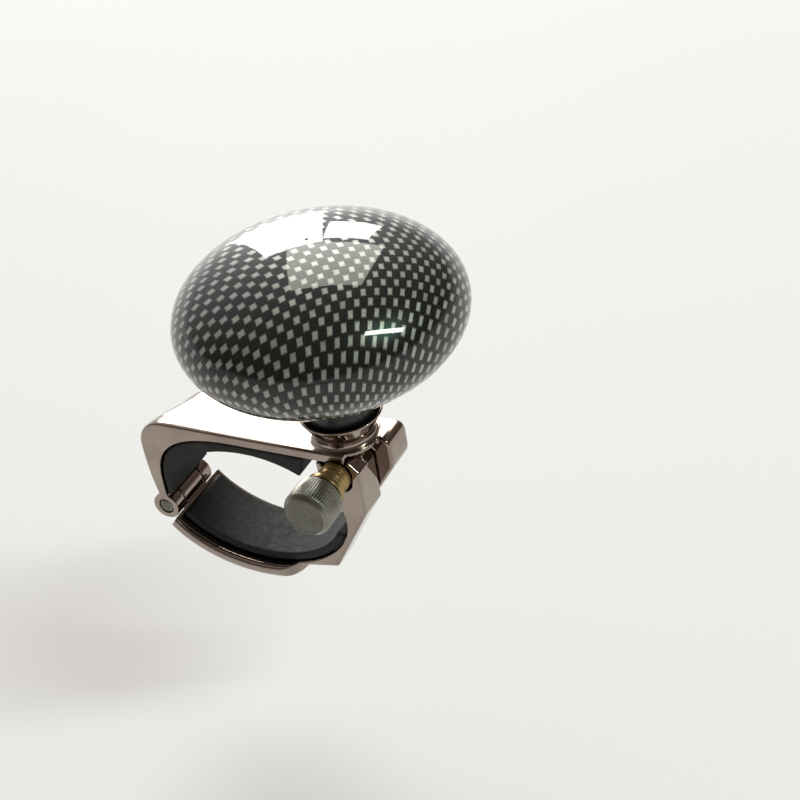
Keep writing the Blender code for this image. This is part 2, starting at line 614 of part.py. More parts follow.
def brass_bush():
    """Flanged spacer between the ear and the head, with two turned grooves."""
    bore = SHANK_RADIUS + BORE_GAP
    flange_start = BUSH_LENGTH - BUSH_FLANGE_LENGTH
    low = BUSH_RADIUS - BUSH_GROOVE_DEPTH
    profile = [(bore, 0), (BUSH_RADIUS, 0)]
    level = BUSH_LAND
    for _ in range(2):
        profile += [(BUSH_RADIUS, level), (low, level + BUSH_GROOVE_DEPTH)]
        groove_end = level + BUSH_GROOVE_WIDTH
        profile += [(low, groove_end - BUSH_GROOVE_DEPTH), (BUSH_RADIUS, groove_end)]
        level = groove_end + BUSH_LAND
    profile += [(BUSH_RADIUS, flange_start), (BUSH_FLANGE_RADIUS - EDGE_BREAK, flange_start)]
    profile += [(BUSH_FLANGE_RADIUS, flange_start + EDGE_BREAK)]
    profile += [(BUSH_FLANGE_RADIUS, BUSH_LENGTH - EDGE_BREAK)]
    profile += [(BUSH_FLANGE_RADIUS - EDGE_BREAK, BUSH_LENGTH), (bore, BUSH_LENGTH)]
    bush = object_from(turned(profile, 26), "brass_bush", "brass")
    return along_y(bush, SCREW_X, -HALF_WIDTH - SEAT_GAP, SCREW_Z)


def on_spindle(obj):
    obj.location.x += COLLAR_X
    return obj


def spindle():
    """Post that stands in the collar's socket and carries the bearing."""
    foot = CUP_FLOOR - SPINDLE_SEAT_DEPTH
    top = BEARING_TOP + SEAT_GAP + WASHER_THICKNESS + SEAT_GAP + NUT_HEIGHT + SPINDLE_TOP_SPARE
    bevel = SPINDLE_TOP_BEVEL
    profile = [(SPINDLE_RADIUS, foot), (SPINDLE_RADIUS, top - bevel), (SPINDLE_RADIUS - bevel, top)]
    return on_spindle(object_from(turned(profile, 24, closed=False), "spindle", "bearing_steel"))


def ring(name, inner, outer, bottom, top, finish, segments=26):
    profile = [(inner, bottom), (outer, bottom), (outer, top), (inner, top)]
    return on_spindle(object_from(turned(profile, segments), name, finish))


def spindle_fittings():
    """Spacer below the bearing, washer and nut above it."""
    bore = SPINDLE_RADIUS + BORE_GAP
    spacer_bottom = CUP_FLOOR + SEAT_GAP
    ring("bearing_spacer", bore, SPACER_RADIUS, spacer_bottom, spacer_bottom + SPACER_HEIGHT, "satin_steel")
    washer_bottom = BEARING_TOP + SEAT_GAP
    washer_top = washer_bottom + WASHER_THICKNESS
    ring("spindle_washer", bore, WASHER_RADIUS, washer_bottom, washer_top, "satin_steel")
    nut_bottom = washer_top + SEAT_GAP
    nut_top = nut_bottom + NUT_HEIGHT
    nut = ring("spindle_nut", bore, NUT_ACROSS_FLATS, nut_bottom, nut_top, "satin_steel")
    hexagon = arc((0, 0), NUT_ACROSS_FLATS / math.sqrt(3), 0, 300, 5)
    boolean(nut, on_spindle(plan_prism("nut_hexagon", hexagon, nut_bottom - MM, nut_top + MM)), "INTERSECT")


def groove(race_radius, outward):
    """Arc of a race's ball groove, from its bottom edge to its top edge."""
    radius = BALL_RADIUS + BORE_GAP
    reach = abs(race_radius - BEARING_PITCH_RADIUS)
    half = math.degrees(math.acos(reach / radius))
    centre = (BEARING_PITCH_RADIUS, BEARING_MIDDLE)
    if outward:
        return arc(centre, radius, -half, half, 6)
    return arc(centre, radius, 180 + half, 180 - half, 6)


def races():
    bore = SPINDLE_RADIUS + BORE_GAP
    inner_land = BEARING_PITCH_RADIUS - RACE_LAND
    outer_land = BEARING_PITCH_RADIUS + RACE_LAND
    inner = [(bore, BEARING_BOTTOM), (inner_land, BEARING_BOTTOM)] + groove(inner_land, False)
    inner += [(inner_land, BEARING_TOP), (bore, BEARING_TOP)]
    on_spindle(object_from(turned(inner, 26), "bearing_inner_race", "bearing_steel"))
    outer = [(BEARING_RADIUS, BEARING_TOP), (outer_land, BEARING_TOP)] + groove(outer_land, True)[::-1]
    outer += [(outer_land, BEARING_BOTTOM), (BEARING_RADIUS, BEARING_BOTTOM)]
    on_spindle(object_from(turned(outer, 30), "bearing_outer_race", "bearing_steel"))


def ball_centre(index):
    angle = math.tau * index / BALL_COUNT
    x = COLLAR_X + BEARING_PITCH_RADIUS * math.cos(angle)
    return (x, BEARING_PITCH_RADIUS * math.sin(angle), BEARING_MIDDLE)


def sphere(name, radius, centre, finish):
    """Ball whose own origin is on the spindle's axis."""
    bm = bmesh.new()
    bmesh.ops.create_uvsphere(bm, u_segments=10, v_segments=6, radius=radius)
    bmesh.ops.translate(bm, verts=bm.verts, vec=centre)
    return object_from(bm, name, finish, origin=(COLLAR_X, 0, 0), smooth_angle=80)


def balls_and_cage():
    """Seven balls and the crown cage that spaces them."""
    inner = BEARING_PITCH_RADIUS - CAGE_WIDTH / 2
    outer = BEARING_PITCH_RADIUS + CAGE_WIDTH / 2
    pocket = BALL_RADIUS + BORE_GAP
    bottom = BEARING_MIDDLE + BALL_RADIUS / 4
    cage = ring("bearing_cage", inner, outer, bottom, BEARING_MIDDLE + pocket + CAGE_BACK, "nylon", 28)
    for i in range(BALL_COUNT):
        centre = ball_centre(i)
        sphere(f"bearing_ball_{i + 1}", BALL_RADIUS, centre, "bearing_steel")
        boolean(cage, sphere(f"cage_pocket_{i + 1}", pocket, centre, None), "DIFFERENCE")


def bearing_circlip():
    """Open ring in a groove of the neck, under the outer race."""
    top = BEARING_BOTTOM - SEAT_GAP
    bottom = top - CIRCLIP_THICKNESS
    outer = BEARING_RADIUS + CIRCLIP_WIDTH / 2
    inner = outer - CIRCLIP_WIDTH
    clip = ring("bearing_circlip", inner, outer, bottom, top, "bearing_steel", 32)
    half = math.radians(CIRCLIP_OPENING / 2)
    far = 2 * BEARING_RADIUS
    wedge = [(0, 0), (far, -far * math.tan(half)), (far, far * math.tan(half))]
    boolean(clip, on_spindle(plan_prism("circlip_opening", wedge, bottom - MM, top + MM)), "DIFFERENCE")


def knob_curve(radius, half_height, start, end, steps):
    """Points (r, z) of the knob's oval, the angle measured up from its underside."""
    points = []
    for i in range(steps + 1):
        angle = math.radians(start + (end - start) * i / steps)
        points.append((radius * math.sin(angle), KNOB_CENTRE - half_height * math.cos(angle)))
    return points


def knob_dome():
    """Printed shell, open at the seam on its underside."""
    inner_radius = KNOB_RADIUS - KNOB_WALL
    inner_height = KNOB_HALF_HEIGHT - KNOB_WALL
    seam = math.degrees(math.asin(SEAM_RADIUS / KNOB_RADIUS))
    inner_seam = math.degrees(math.asin(SEAM_RADIUS / inner_radius))
    profile = knob_curve(KNOB_RADIUS, KNOB_HALF_HEIGHT, seam, 180, 18)
    profile += knob_curve(inner_radius, inner_height, 180, inner_seam, 8)
    dome = turned(profile, 54)
    return on_spindle(object_from(dome, "knob_dome", "carbon_print", smooth_angle=50))


def knob_base():
    """Underside and neck, with the bearing's pocket in it, snapped into the dome."""
    edge = SEAM_RADIUS - SEAT_GAP
    inner_radius = KNOB_RADIUS - KNOB_WALL
    inner_height = KNOB_HALF_HEIGHT - KNOB_WALL

    def inside(r):
        return KNOB_CENTRE - inner_height * math.sqrt(1 - (r / inner_radius) ** 2)

    neck_bottom = BEARING_BOTTOM - SEAT_GAP - CIRCLIP_THICKNESS - SEAT_GAP - EDGE_ROUND
    pocket = BEARING_RADIUS + BORE_GAP
    clip_groove = BEARING_RADIUS + CIRCLIP_WIDTH / 2 + BORE_GAP
    clip_top = BEARING_BOTTOM - SEAT_GAP
    first = math.degrees(math.asin((NECK_RADIUS + NECK_FILLET) / KNOB_RADIUS))
    last = math.degrees(math.asin(edge / KNOB_RADIUS))
    under = knob_curve(KNOB_RADIUS, KNOB_HALF_HEIGHT, first, last, 5)
    fillet_z = under[0][1] - NECK_FILLET
    fillet = arc((NECK_RADIUS + NECK_FILLET, fillet_z), NECK_FILLET, 180, 90, 4)
    lip = edge + SNAP_LIP
    hub_top = inside(NECK_RADIUS) + HUB_RISE
    lip_base = inside(lip) + SEAT_GAP
    lip_top = lip_base + SNAP_LIP_HEIGHT
    clip_bottom = clip_top - CIRCLIP_THICKNESS
    profile = [(pocket, neck_bottom), (NECK_RADIUS - EDGE_BREAK, neck_bottom)]
    profile += [(NECK_RADIUS, neck_bottom + EDGE_BREAK)] + fillet[:-1] + under
    lip_inner = edge - SNAP_LIP
    shoulder = BEARING_TOP + SEAT_GAP
    profile += [(edge, inside(edge) + SEAT_GAP), (lip, lip_base), (lip, lip_top), (lip_inner, lip_top)]
    profile += [(lip_inner, inside(lip_inner)), (NECK_RADIUS, inside(NECK_RADIUS))]
    profile += [(NECK_RADIUS, hub_top), (NECK_BORE_RADIUS, hub_top), (NECK_BORE_RADIUS, shoulder)]
    profile += [(pocket, shoulder), (pocket, clip_top + BORE_GAP), (clip_groove, clip_top + BORE_GAP)]
    profile += [(clip_groove, clip_bottom - BORE_GAP), (pocket, clip_bottom - BORE_GAP)]
    base = turned(profile, 40)
    return on_spindle(object_from(base, "knob_base", "black_plastic", smooth_angle=40))


def build():
    clear_scene()
    upper_bracket()
    lower_jaw()
    hinge_pin()
    upper_liner()
    lower_liner()
    head_back = HALF_WIDTH + SEAT_GAP + BUSH_LENGTH + SEAT_GAP
    thumb_head(head_back)
    clamp_screw(head_back)
    brass_bush()
    spindle()
    spindle_fittings()
    races()
    balls_and_cage()
    bearing_circlip()
    knob_dome()
    knob_base()


build()
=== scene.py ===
"""Looks of the steering wheel spinner knob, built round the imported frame.

Lengths are metres in the frame's own axes: +X across the rim, +Y along it, +Z up the knob's axis.
"""

import math

import bmesh
import bpy
from mathutils import Matrix, Quaternion, Vector


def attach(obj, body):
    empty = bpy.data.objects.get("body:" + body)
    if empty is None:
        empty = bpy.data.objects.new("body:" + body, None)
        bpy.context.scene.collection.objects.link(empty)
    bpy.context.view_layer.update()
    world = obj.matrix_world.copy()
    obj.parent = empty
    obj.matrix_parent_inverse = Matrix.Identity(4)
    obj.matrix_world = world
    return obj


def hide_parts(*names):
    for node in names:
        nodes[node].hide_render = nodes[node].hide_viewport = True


MM = 0.001

# Places and sizes that the frame has too
HALF_WIDTH = 7.1 * MM
SEAT_GAP = 0.3 * MM
BORE_GAP = 0.2 * MM
EDGE_ROUND = 0.45 * MM
COLLAR_X = 20.6 * MM
COLLAR_HEIGHT = 6.1 * MM
COLLAR_RIM_RADIUS = 8.3 * MM
COLLAR_WAIST_RADIUS = 5.8 * MM
COLLAR_RIM_WALL = 0.5 * MM
COLLAR_CUP_DEPTH = 2.2 * MM
COLLAR_FLARE = (COLLAR_RIM_RADIUS - COLLAR_WAIST_RADIUS) / COLLAR_HEIGHT
CUP_FLOOR = 20.5 * MM
SCREW_X = 21.6 * MM
SCREW_Z = 12.1 * MM
SHANK_RADIUS = 2.0 * MM
SHANK_TIP_INSET = 0.8 * MM
SHANK_TIP_BEVEL = 0.5 * MM
HEAD_BACK = HALF_WIDTH + 6.1 * MM
HEAD_LENGTH = 7.2 * MM
HEAD_WALL = 1.6 * MM
BUSH_RADIUS = 3.2 * MM
BUSH_LENGTH = 5.5 * MM
BUSH_FLANGE_RADIUS = 4.0 * MM
BUSH_FLANGE_LENGTH = 1.2 * MM
BUSH_GROOVE_DEPTH = 0.35 * MM
BUSH_GROOVE_WIDTH = 0.9 * MM
BUSH_GROOVES = 2
BUSH_LAND = 1.0 * MM
HINGE_X = -22.3 * MM
HINGE_Z = -5.6 * MM
PIN_RADIUS = 1.5 * MM
PIN_INSET = 0.2 * MM
SPINDLE_BORE = 2.2 * MM
SPACER_RADIUS = 3.1 * MM
BEARING_BOTTOM = 23.1 * MM
BEARING_WIDTH = 4.0 * MM
BEARING_MIDDLE = BEARING_BOTTOM + BEARING_WIDTH / 2
BEARING_TOP = BEARING_BOTTOM + BEARING_WIDTH
BEARING_RADIUS = 5.5 * MM
BEARING_PITCH_RADIUS = 3.75 * MM
RACE_LAND = 0.6 * MM
BALL_RADIUS = 0.95 * MM
BALL_COUNT = 7
SPACER_BOTTOM = CUP_FLOOR + SEAT_GAP
SPACER_TOP = BEARING_BOTTOM - SEAT_GAP
WASHER_RADIUS = 3.6 * MM
WASHER_THICKNESS = 0.8 * MM
WASHER_BOTTOM = BEARING_TOP + SEAT_GAP
WASHER_TOP = WASHER_BOTTOM + WASHER_THICKNESS
CIRCLIP_THICKNESS = 0.7 * MM
CIRCLIP_WIDTH = 1.0 * MM
NECK_RADIUS = COLLAR_RIM_RADIUS - COLLAR_RIM_WALL - COLLAR_CUP_DEPTH * COLLAR_FLARE
NECK_BORE_RADIUS = 4.7 * MM
NECK_FILLET = 1.8 * MM
HUB_RISE = 1.6 * MM
SNAP_LIP = 1.8 * MM
SNAP_LIP_HEIGHT = 1.2 * MM
KNOB_CENTRE = 45.1 * MM
KNOB_RADIUS = 28.0 * MM
KNOB_HALF_HEIGHT = 15.1 * MM
KNOB_WALL = 2.2 * MM
SEAM_RADIUS = 18.5 * MM

# Detail that is finer than the frame's
DOME_RADIUS = 27.92 * MM        # keeps the round dome inside the frame's faceted one
HEAD_KNURL = 0.11 * MM
HEAD_KNURLS = 60
KNURL_STEPS = 6
THREAD_PITCH = 0.7 * MM
THREAD_DEPTH = 0.38 * MM
THREAD_STEPS = 10               # levels in one turn
SHANK_STEPS = 48
BUSH_ROUND = 0.18 * MM
PIN_CROWN = 0.12 * MM
PIN_CROWN_HALFWAY = 0.3         # share of the crown at half the pin's radius
PIN_CHAMFER_DEPTH = 0.25 * MM
PIN_CHAMFER_LENGTH = 0.2 * MM
RING_CHAMFER = 0.15 * MM
GROOVE_STEPS = 8                # on either side of a ball groove's middle
WASHER_CHAMFER = 0.1 * MM
NECK_CHAMFER = 0.3 * MM
NECK_FILLET_STEPS = 12
BOWL_STEPS = 16
ON_AXIS = 0.001 * MM            # a smaller radius is a point on the axis

# Outside of the screw's head, from its back face to the mark in the middle of its front: radius and
# height in millimetres, and the share of the knurls' height
HEAD_OUTLINE = (
    (3.7, 0.0, 0.0),
    (4.0, 0.06, 0.0),       # back chamfer
    (4.69, 0.78, 0.0),
    (4.79, 0.9, 0.1),       # knurled side
    (4.79, 1.15, 1.0),
    (4.79, 3.6, 1.0),
    (4.79, 6.0, 1.0),
    (4.79, 6.3, 0.1),
    (4.71, 6.4, 0.0),       # front chamfer
    (4.16, 7.06, 0.0),
    (4.05, 7.17, 0.0),      # rim of the face
    (3.92, 7.2, 0.0),
    (3.7, 7.2, 0.0),
    (3.64, 7.14, 0.0),      # face
    (0.8, 7.14, 0.0),
    (0.7, 7.11, 0.0),       # centre mark
    (0.1, 6.8, 0.0),
    (0.0, 6.8, 0.0),
)

# Skin of the castings and linings
CAST_VOXEL = 0.2 * MM
CAST_SOFTNESS = 0.5
CAST_KEEP = 0.5
METAL_ROUNDS = 5
LINING_ROUNDS = 3

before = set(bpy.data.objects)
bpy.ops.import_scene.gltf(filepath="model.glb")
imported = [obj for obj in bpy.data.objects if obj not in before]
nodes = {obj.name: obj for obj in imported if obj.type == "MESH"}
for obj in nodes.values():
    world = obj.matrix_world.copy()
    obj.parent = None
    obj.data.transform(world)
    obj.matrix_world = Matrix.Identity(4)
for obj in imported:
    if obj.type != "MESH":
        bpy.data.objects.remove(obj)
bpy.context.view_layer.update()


class Graph:
    """Adds nodes to one node tree and joins them."""

    def __init__(self, tree):
        self.tree = tree

    def node(self, kind):
        return self.tree.nodes.new("ShaderNode" + kind)

    def put(self, socket, value):
        if isinstance(value, bpy.types.NodeSocket):
            self.tree.links.new(value, socket)
        else:
            socket.default_value = value

    def math(self, operation, *values):
        made = self.node("Math")
        made.operation = operation
        for socket, value in zip(made.inputs, values):
            self.put(socket, value)
        return made.outputs[0]

    def vector(self, operation, *values):
        made = self.node("VectorMath")
        made.operation = operation
        for socket, value in zip(made.inputs, values):
            self.put(socket, value)
        return made.outputs["Value" if operation == "DOT_PRODUCT" else "Vector"]

    def split(self, vector):
        made = self.node("SeparateXYZ")
        self.put(made.inputs[0], vector)
        return made.outputs[0], made.outputs[1], made.outputs[2]

    def join(self, x, y, z):
        made = self.node("CombineXYZ")
        for socket, value in zip(made.inputs, (x, y, z)):
            self.put(socket, value)
        return made.outputs[0]

    def place(self, centre=(0, 0, 0)):
        """Position on the piece in its own axes, from the given centre."""
        coordinate = self.node("TexCoord").outputs["Object"]
        return self.vector("SUBTRACT", coordinate, centre)

    def noise(self, vector, scale, detail=2.0, roughness=0.5):
        made = self.node("TexNoise")
        self.put(made.inputs["Vector"], vector)
        made.inputs["Scale"].default_value = scale
        made.inputs["Detail"].default_value = detail
        made.inputs["Roughness"].default_value = roughness
        return made.outputs[0]

    def remap(self, value, low, high, start, end, smooth=False):
        made = self.node("MapRange")
        made.interpolation_type = "SMOOTHSTEP" if smooth else "LINEAR"
        for socket, number in zip(made.inputs, (value, low, high, start, end)):
            self.put(socket, number)
        return made.outputs[0]

    def spread(self, value, low, high):
        """The value's range from low to high, stretched over 0 to 1."""
        return self.remap(value, low, high, 0.0, 1.0)

    def mix(self, factor, first, second):
        made = self.node("Mix")
        made.data_type = "RGBA"
        self.put(made.inputs["Factor"], factor)
        for socket, value in ((made.inputs[6], first), (made.inputs[7], second)):
            self.put(socket, value if isinstance(value, bpy.types.NodeSocket) else (*value, 1.0))
        return made.outputs[2]

    def bump(self, height, depth, normal=None):
        """A bump of the given depth in metres for a height from 0 to 1."""
        made = self.node("Bump")
        made.inputs["Distance"].default_value = depth
        made.inputs["Strength"].default_value = 1.0
        self.put(made.inputs["Height"], height)
        if normal:
            self.put(made.inputs["Normal"], normal)
        return made.outputs[0]


def finish_of(name):
    """A new material, its graph and its shader's sockets."""
    made = bpy.data.materials.new(name)
    made.use_nodes = True
    shader = made.node_tree.nodes["Principled BSDF"]
    return made, Graph(made.node_tree), shader.inputs


def chrome():
    """Chrome plate: cloudy tone, smears, fine scratches across the rim and a slow wave."""
    made, g, shader = finish_of("chrome_plate")
    place = g.place()
    cloud = g.noise(place, scale=90, detail=3)
    smear = g.noise(g.vector("MULTIPLY", place, (1.0, 2.6, 1.4)), scale=420, detail=4, roughness=0.6)
    scratch = g.noise(g.vector("MULTIPLY", place, (1.0, 14.0, 1.6)), scale=900, detail=2, roughness=0.7)
    # dark and light are chrome darkened and warmed below its own colour, as painted reflection of a dim
    # brown room. The cloud between them is random tone.
    dark = (0.29, 0.225, 0.195)
    light = (0.39, 0.325, 0.285)
    g.put(shader["Base Color"], g.mix(g.spread(cloud, 0.3, 0.7), dark, light))
    shader["Metallic"].default_value = 1.0
    marks = g.remap(scratch, 0.62, 0.75, start=0.0, end=0.08)
    g.put(shader["Roughness"], g.math("ADD", g.remap(smear, 0.35, 0.75, start=0.05, end=0.12), marks))
    wave = g.bump(g.noise(place, scale=55, detail=1), depth=0.10 * MM)
    g.put(shader["Normal"], g.bump(g.noise(place, scale=900, detail=2), depth=0.002 * MM, normal=wave))
    return made


def turned_metal(name, centre, axis, light, dark, rough, face=1.0):
    """Lathe-turned metal: fine rings about the axis. The end faces carry painted shade, a share of the
    sides' tone.
    """
    made, g, shader = finish_of(name)
    place = g.place(centre)
    parts = list(g.split(place))
    along = parts.pop(axis)
    squares = [g.math("POWER", part, 2.0) for part in parts]
    radial = g.math("SQRT", g.math("ADD", *squares))
    rings = g.noise(g.join(radial, along, 0.0), scale=2600, detail=2, roughness=0.7)
    cloud = g.noise(place, scale=260, detail=3)
    tone = g.math("ADD", g.math("MULTIPLY", rings, 0.6), g.math("MULTIPLY", cloud, 0.4))
    shade = g.spread(tone, 0.35, 0.65)
    side = g.mix(shade, dark, light)
    # Painted shade: faces that look along the axis take the sides' tones times face, and the dark tone
    # 0.9 times more.
    painted_shade_dark_end = 0.9 * face
    end = g.mix(shade, tuple(value * painted_shade_dark_end for value in dark), tuple(value * face for value in light))
    end_face_shade_mask = g.math("ABSOLUTE", g.split(g.node("NewGeometry").outputs["Normal"])[axis])
    g.put(shader["Base Color"], g.mix(g.spread(end_face_shade_mask, 0.85, 0.97), side, end))
    shader["Metallic"].default_value = 1.0
    g.put(shader["Roughness"], g.remap(tone, 0.3, 0.7, start=rough - 0.06, end=rough + 0.08))
    g.put(shader["Normal"], g.bump(rings, depth=0.004 * MM))
    return made


def moulded(name, light, dark, rough, grain=1500.0, depth=0.01 * MM):
    """Moulded plastic or rubber with a fine grain."""
    made, g, shader = finish_of(name)
    place = g.place()
    fine = g.noise(place, scale=grain, detail=3, roughness=0.6)
    cloud = g.noise(place, scale=grain / 12, detail=3)
    g.put(shader["Base Color"], g.mix(g.spread(cloud, 0.3, 0.7), dark, light))
    g.put(shader["Roughness"], g.remap(fine, 0.3, 0.7, start=rough - 0.07, end=rough + 0.09))
    g.put(shader["Normal"], g.bump(fine, depth))
    return made


# How the printed film lies. The cell numbers along the weave's two directions start from PRINT_START.
# They grow with the film's even lay over the dome, and with the low powers of a point's x, y and z on it.
FILM_SLACK = 0.13
PRINT_START = (1.95, -9.39)
PRINT_LAY = ((10.66, -1.75), (-2.99, -11.4))
PRINT_POWERS = (
    (0, 1, 0), (0, 2, 0), (0, 3, 0), (0, 4, 0), (1, 0, 0), (1, 1, 0), (1, 2, 0), (1, 3, 0),
    (2, 0, 0), (2, 1, 0), (2, 2, 0), (3, 0, 0), (3, 1, 0), (4, 0, 0), (0, 0, 1), (0, 1, 1),
    (0, 2, 1), (0, 3, 1), (1, 0, 1), (1, 1, 1), (1, 2, 1), (2, 0, 1), (2, 1, 1), (3, 0, 1),
)
PRINT_DRIFT = (
    (6.41, 2.68, -2.97, -1.18, 1.54, -2.15, -1.0, 2.66, 2.16, -4.09, -4.83, -0.66, 1.55, -0.4,
     -0.52, -2.24, -0.29, 2.36, -2.0, -1.03, 2.01, 0.49, 1.29, 0.88),
    (-0.46, 2.36, -0.26, -2.12, 3.07, 1.57, -2.16, -2.37, -0.13, 3.82, -0.85, -1.65, 0.54, -1.76,
     1.58, -0.81, -0.67, 0.52, 0.13, -2.35, -0.92, -1.72, -2.79, 1.02),
)


def power_term(g, values, powers):
    """Product of the values, each taken as often as its power says."""
    term = None
    for value, power in zip(values, powers):
        for _ in range(power):
            term = g.math("MULTIPLY", term, value) if term else value
    return term


def weave_places(g):
    """Cell numbers along the two directions of the weave, at a point of the dome."""
    least_reach = 0.0001
    from_centre = g.place((COLLAR_X, 0, KNOB_CENTRE))
    x, y, z = g.split(g.vector("DIVIDE", from_centre, (KNOB_RADIUS, KNOB_RADIUS, KNOB_HALF_HEIGHT)))
    squares = g.math("ADD", g.math("MULTIPLY", x, x), g.math("MULTIPLY", y, y))
    reach = g.math("MAXIMUM", g.math("SQRT", squares), least_reach)
    tilt = g.math("ARCTAN2", reach, z)
    laid = g.math("MULTIPLY", tilt, g.math("SUBTRACT", 1.0, g.math("MULTIPLY", tilt, FILM_SLACK)))
    share = g.math("DIVIDE", laid, reach)
    terms = [g.math("MULTIPLY", x, share), g.math("MULTIPLY", y, share)]
    terms += [power_term(g, (x, y, z), powers) for powers in PRINT_POWERS]
    places = []
    for total, lay, drift in zip(PRINT_START, PRINT_LAY, PRINT_DRIFT):
        for term, weight in zip(terms, lay + drift):
            total = g.math("MULTIPLY_ADD", term, weight, total)
        places.append(total)
    return places


def carbon_print():
    """Light and dark weave cells of a printed film, under clear lacquer."""
    made, g, shader = finish_of("carbon_print_lacquered")
    i, j = weave_places(g)
    nearest_i = g.math("ROUND", i)
    nearest_j = g.math("ROUND", j)
    from_i = g.math("SUBTRACT", i, nearest_i)
    from_j = g.math("SUBTRACT", j, nearest_j)
    along = g.math("ABSOLUTE", g.math("ADD", from_i, from_j))
    across = g.math("ABSOLUTE", g.math("SUBTRACT", from_i, from_j))
    wander = g.noise(g.join(i, j, 0.0), scale=2.3, detail=2)
    waver = g.math("MULTIPLY", g.math("SUBTRACT", wander, 0.5), 0.10)
    edge = g.math("ADD", g.math("MAXIMUM", along, across), waver)
    light = g.remap(edge, 0.22, 0.45, start=1.0, end=0.0, smooth=True)
    thread_length = g.math("MULTIPLY", g.math("ADD", i, j), 9.0)
    thread_width = g.math("MULTIPLY", g.math("SUBTRACT", i, j), 1.2)
    strand = g.noise(g.join(thread_length, thread_width, 0.0), scale=1.0, detail=2, roughness=0.6)
    cell = g.noise(g.join(nearest_i, nearest_j, 0.0), scale=0.9, detail=1)
    tone = g.math("ADD", g.math("MULTIPLY", strand, 0.5), g.math("MULTIPLY", cell, 0.5))
    pale = g.mix(g.spread(tone, 0.35, 0.65), (0.22, 0.235, 0.21), (0.42, 0.44, 0.40))
    dark = g.mix(g.spread(strand, 0.3, 0.7), (0.004, 0.005, 0.005), (0.014, 0.017, 0.015))
    g.put(shader["Base Color"], g.mix(light, dark, pale))
    g.put(shader["Roughness"], g.remap(strand, 0.3, 0.7, start=0.34, end=0.46))
    g.put(shader["Metallic"], g.math("MULTIPLY", light, 0.35))
    g.put(shader["Specular IOR Level"], g.remap(light, 0.0, 1.0, start=0.04, end=0.3))
    shader["Coat Weight"].default_value = 1.0
    shader["Coat Roughness"].default_value = 0.02
    shader["Coat IOR"].default_value = 1.5
    g.put(shader["Coat Normal"], g.bump(g.noise(g.place(), scale=70, detail=2), depth=0.03 * MM))
    g.put(shader["Normal"], g.bump(light, depth=0.004 * MM))
    return made


SCREW_AXIS = (SCREW_X, 0, SCREW_Z)
FINISH = {
    "chrome": chrome(),
    # Satin steel: silver darkened to an olive grey as painted reflection of a dim room; face=0.58 paints
    # its end faces darker as shade.
    "satin_steel": turned_metal("satin_steel_turned", SCREW_AXIS, axis=1, light=(0.30, 0.29, 0.25),
                                dark=(0.19, 0.18, 0.15), rough=0.34, face=0.58),
    "brass": turned_metal("brass_turned", SCREW_AXIS, axis=1, light=(0.44, 0.315, 0.145),
                          dark=(0.28, 0.195, 0.085), rough=0.30),
    "bearing_steel": turned_metal("bearing_steel_ground", (COLLAR_X, 0, 0), axis=2,
                                  light=(0.60, 0.60, 0.60), dark=(0.46, 0.46, 0.47), rough=0.18),
    "carbon_print": carbon_print(),
    "black_plastic": moulded("black_plastic_moulded", light=(0.022, 0.022, 0.023),
                             dark=(0.011, 0.011, 0.012), rough=0.30),
    "nylon": moulded("nylon_moulded", light=(0.52, 0.47, 0.36), dark=(0.42, 0.37, 0.27), rough=0.48),
    "rubber": moulded("rubber_lining", light=(0.024, 0.023, 0.023), dark=(0.011, 0.011, 0.011),
                      rough=0.78, grain=1100.0, depth=0.03 * MM),
}
SLOT_OF = {
    "upper_bracket": "chrome",
    "lower_jaw": "chrome",
    "knob_dome": "carbon_print",
    "knob_base": "black_plastic",
    "thumb_head": "satin_steel",
    "hinge_pin": "satin_steel",
    "bearing_spacer": "satin_steel",
    "spindle_washer": "satin_steel",
    "spindle_nut": "satin_steel",
    "brass_bush": "brass",
    "bearing_cage": "nylon",
    "upper_liner": "rubber",
    "lower_liner": "rubber",
}


def slot_of(node):
    """Slot of a node, bearing steel unless another is listed."""
    return SLOT_OF.get(node, "bearing_steel")


def dress(mesh, slot):
    """Give a mesh the finish of a slot, alone."""
    mesh.materials.clear()
    mesh.materials.append(FINISH[slot])


for node_name, node_object in nodes.items():
    dress(node_object.data, slot_of(node_name))


def placed(name, data):
    """A new object in the scene."""
    made = bpy.data.objects.new(name, data)
    bpy.context.scene.collection.objects.link(made)
    return made


def stand_in(made, node, body):
    """Dress a visible piece and tie it to the node of the frame that it stands for."""
    slot = slot_of(node)
    dress(made.data, slot)
    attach(made, body)
    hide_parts(node)


def piece(bm, name, node, body, matrix, smooth_angle):
    """Make a bmesh the piece that stands for a node, moved by the matrix, smooth up to an angle."""
    bmesh.ops.transform(bm, matrix=matrix, verts=bm.verts)
    bmesh.ops.recalc_face_normals(bm, faces=bm.faces)
    mesh = bpy.data.meshes.new(name)
    bm.to_mesh(mesh)
    bm.free()
    mesh.shade_smooth()
    mesh.set_sharp_from_angle(angle=math.radians(smooth_angle))
    stand_in(placed(name, mesh), node, body)


def spin(rows, closed=False, capped=()):
    """Skin of rings about Z. Each row is a height with the radii round it, a lone 0 for a point."""
    bm = bmesh.new()
    rings = []
    for level, radii in rows:
        ring = []
        for k, radius in enumerate(radii):
            angle = math.tau * k / len(radii)
            ring.append(bm.verts.new((radius * math.cos(angle), radius * math.sin(angle), level)))
        rings.append(ring)
    pairs = list(zip(rings, rings[1:]))
    if closed:
        pairs.append((rings[-1], rings[0]))
    for first, second in pairs:
        count = max(len(first), len(second))
        for k in range(count):
            n = (k + 1) % count
            loop = [first[k % len(first)], first[n % len(first)]]
            loop += [second[n % len(second)], second[k % len(second)]]
            corners = list(dict.fromkeys(loop))
            if len(corners) > 2:
                bm.faces.new(corners)
    for index in capped:
        bm.faces.new(rings[index])
    return bm


